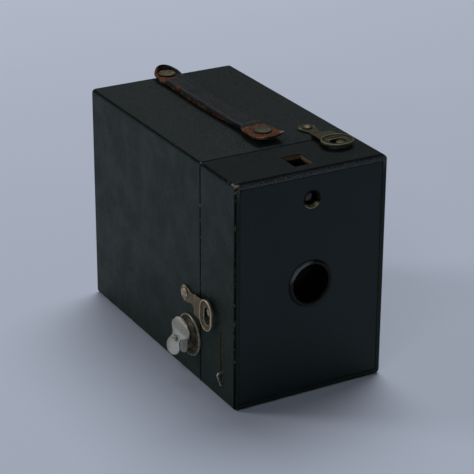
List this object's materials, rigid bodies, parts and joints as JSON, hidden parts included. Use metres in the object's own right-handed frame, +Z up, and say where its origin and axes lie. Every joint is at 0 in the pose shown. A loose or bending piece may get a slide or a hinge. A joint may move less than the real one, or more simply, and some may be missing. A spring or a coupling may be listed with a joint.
{
  "type": "roll film box camera",
  "caption": "Leatherette-covered box camera with sliding front section, rotary shutter, film carrier and spools, winding key, ring latches and a leather carrying strap.",
  "frame": {"origin": "centre of the bottom face of the box, midway between its front and back faces", "axes": "+Z up, the front face looks along -Y, +X is the side away from the winding key"},
  "size_m": [0.0888, 0.1463, 0.1161],
  "materials": {
    "leatherette": "pebbled, worn at the edges",
    "case_board": "dull card and board",
    "front_wood": "bare wood",
    "board_wood": "stained wood",
    "panel_black": "smooth satin black",
    "black_metal": "black enamel",
    "brass_worn": "tarnished",
    "brass_bright": "dull polished",
    "nickel": "worn nickel plate",
    "steel": "plain",
    "strap_leather": "black leather worn to brown",
    "felt": "black felt",
    "ruby": "clear ruby celluloid",
    "clear_glass": "polished",
    "mirror_silver": "silvered",
    "cone_card": "matt black card"
  },
  "bodies": {
    "case": {"rear_case": "case_board", "rear_covering": "leatherette", "red_window_ring": "black_metal", "red_window": "ruby", "strap": "strap_leather", "strap_studs": "brass_worn", "latch_rivets": "brass_worn", "key_cup": "nickel"},
    "front": {"front_case": "front_wood", "front_covering": "leatherette", "front_panel": "panel_black", "lens_bezel": "black_metal", "latch_studs": "nickel", "finder_housing": "black_metal", "finder_lens_mount": "brass_bright", "finder_lens": "clear_glass", "finder_mirror": "mirror_silver", "finder_glass": "clear_glass", "lens_board": "board_wood", "shutter_plate": "black_metal", "shutter_screws": "brass_bright", "shutter_rivets": "steel", "shutter_spring": "steel", "lens_cell": "black_metal", "stop_plate": "black_metal", "lens": "clear_glass", "lens_retainer": "brass_bright", "carrier_side_boards": "board_wood", "film_cone": "cone_card", "film_gate": "black_metal", "roller_axles": "steel", "spool_pins": "steel", "spool_spring_washers": "brass_bright"},
    "top_latch": {"top_latch": "brass_worn"},
    "side_latch": {"side_latch": "brass_worn"},
    "key_slider": {"key_washer": "felt"},
    "winding_key": {"key_shaft": "nickel", "key_handle": "nickel", "key_rivet": "brass_worn"},
    "take_up_spool": {"take_up_core": "board_wood", "take_up_flanges": "black_metal"},
    "supply_spool": {"supply_core": "board_wood", "supply_flanges": "black_metal"},
    "upper_roller": {"upper_roller": "steel"},
    "lower_roller": {"lower_roller": "steel"},
    "shutter_lever": {"shutter_lever": "steel"},
    "shutter_disc": {"shutter_disc": "black_metal"}
  },
  "joints": [
    {"name": "front_slide", "type": "slide", "parent": "case", "child": "front", "axis": [0, -1, 0], "range_m": [0, 0.11]},
    {"name": "top_latch_swing", "type": "hinge", "parent": "case", "child": "top_latch", "pos_m": [0.0242, -0.0278, 0.111], "axis": [0, 0, 1], "range_deg": [0, 90]},
    {"name": "side_latch_swing", "type": "hinge", "parent": "case", "child": "side_latch", "pos_m": [-0.0395, -0.0273, 0.0412], "axis": [1, 0, 0], "range_deg": [-90, 0]},
    {"name": "key_push", "type": "slide", "parent": "case", "child": "key_slider", "axis": [1, 0, 0], "range_m": [0, 0.003]},
    {"name": "key_turn", "type": "hinge", "parent": "key_slider", "child": "winding_key", "pos_m": [-0.0395, -0.031, 0.0212], "axis": [1, 0, 0], "continuous": true},
    {"name": "take_up_turn", "type": "hinge", "parent": "front", "child": "take_up_spool", "pos_m": [0, -0.031, 0.0212], "axis": [1, 0, 0], "continuous": true},
    {"name": "supply_turn", "type": "hinge", "parent": "front", "child": "supply_spool", "pos_m": [0, -0.031, 0.0906], "axis": [1, 0, 0], "continuous": true},
    {"name": "upper_roller_turn", "type": "hinge", "parent": "front", "child": "upper_roller", "pos_m": [0, 0.06, 0.1025], "axis": [1, 0, 0], "continuous": true},
    {"name": "lower_roller_turn", "type": "hinge", "parent": "front", "child": "lower_roller", "pos_m": [0, 0.06, 0.0093], "axis": [1, 0, 0], "continuous": true},
    {"name": "shutter_lever_swing", "type": "hinge", "parent": "front", "child": "shutter_lever", "pos_m": [-0.0137, -0.061, 0.0223], "axis": [0, 1, 0], "range_deg": [0, 40], "deforming": ["shutter_spring"]},
    {"name": "shutter_disc_turn", "type": "hinge", "parent": "front", "child": "shutter_disc", "pos_m": [0, -0.06, 0.0419], "axis": [0, 1, 0], "range_deg": [-100, 0]}
  ],
  "couplings": [
    {"joint": "take_up_turn", "follows": "key_turn", "ratio": 1},
    {"joint": "shutter_disc_turn", "follows": "shutter_lever_swing", "ratio": -2.5}
  ]
}
